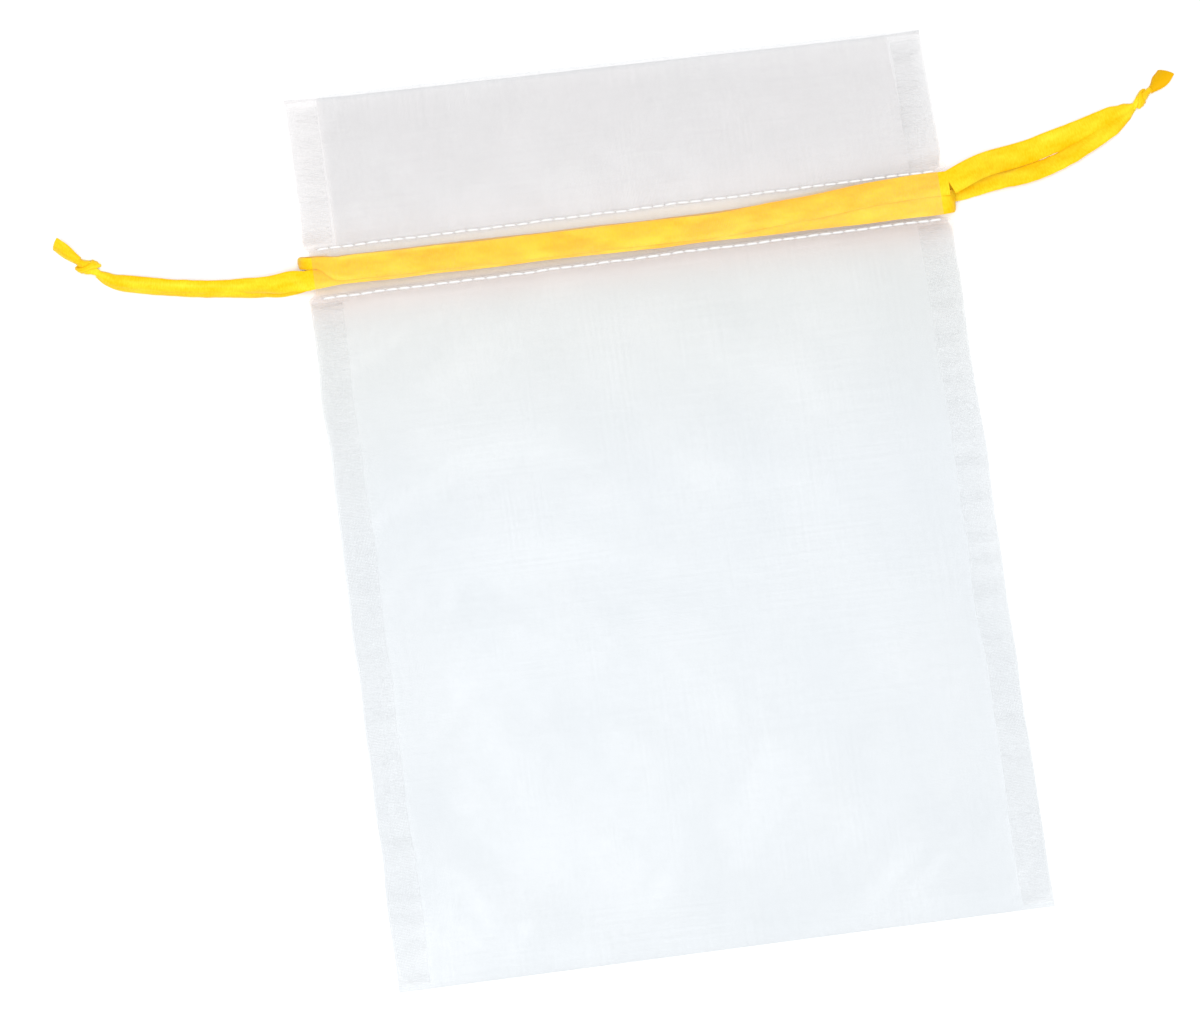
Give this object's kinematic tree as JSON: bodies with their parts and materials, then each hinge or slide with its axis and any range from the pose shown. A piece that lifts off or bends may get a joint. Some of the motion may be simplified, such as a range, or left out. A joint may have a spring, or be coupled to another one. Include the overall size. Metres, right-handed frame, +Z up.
{
  "type": "drawstring gift pouch",
  "caption": "Flat sheer cloth gift pouch with a doubled header, a stitched casing and two satin ribbon drawstrings that close the neck from both sides.",
  "frame": {"origin": "middle of the pouch's footprint, on the surface that it lies on", "axes": "+X across the pouch to the right side seam, +Y from the bottom fold to the mouth, +Z up from the back panel to the front panel"},
  "size_m": [0.2307, 0.18, 0.0105],
  "materials": {
    "organza": "sheer woven organza, crisp, with a slight shimmer",
    "seam": "turned-in organza edges with white overlock thread",
    "thread": "white polyester sewing thread",
    "satin_ribbon": "bright yellow satin ribbon with a soft sheen"
  },
  "bodies": {
    "pouch": {"front_panel": "organza", "back_panel": "organza", "front_upper_stitches": "thread", "front_lower_stitches": "thread", "back_upper_stitches": "thread", "back_lower_stitches": "thread", "left_body_seam": "seam", "right_body_seam": "seam", "left_header_seam": "seam", "right_header_seam": "seam"},
    "left_ribbon": {"left_drawstring": "satin_ribbon"},
    "right_ribbon": {"right_drawstring": "satin_ribbon"},
    "left_pull": {"left_pull_front": "satin_ribbon", "left_pull_back": "satin_ribbon", "left_knot": "satin_ribbon", "left_tails": "satin_ribbon"},
    "right_pull": {"right_pull_front": "satin_ribbon", "right_pull_back": "satin_ribbon", "right_knot": "satin_ribbon", "right_tails": "satin_ribbon"}
  },
  "joints": [
    {"name": "left_drawstring_slide", "type": "slide", "parent": "pouch", "child": "left_ribbon", "axis": [-1, 0, 0], "range_m": [0, 0.04], "deforming": ["front_panel", "back_panel"]},
    {"name": "right_drawstring_slide", "type": "slide", "parent": "pouch", "child": "right_ribbon", "axis": [1, 0, 0], "range_m": [0, 0.04]},
    {"name": "left_pull_lift", "type": "hinge", "parent": "left_ribbon", "child": "left_pull", "pos_m": [-0.065, 0.0537, 0.004], "axis": [0, 1, 0], "range_deg": [0, 90], "deforming": ["left_pull_front", "left_pull_back"]},
    {"name": "right_pull_lift", "type": "hinge", "parent": "right_ribbon", "child": "right_pull", "pos_m": [0.065, 0.0563, 0.004], "axis": [0, -1, 0], "range_deg": [0, 90], "deforming": ["right_pull_front", "right_pull_back"]}
  ]
}
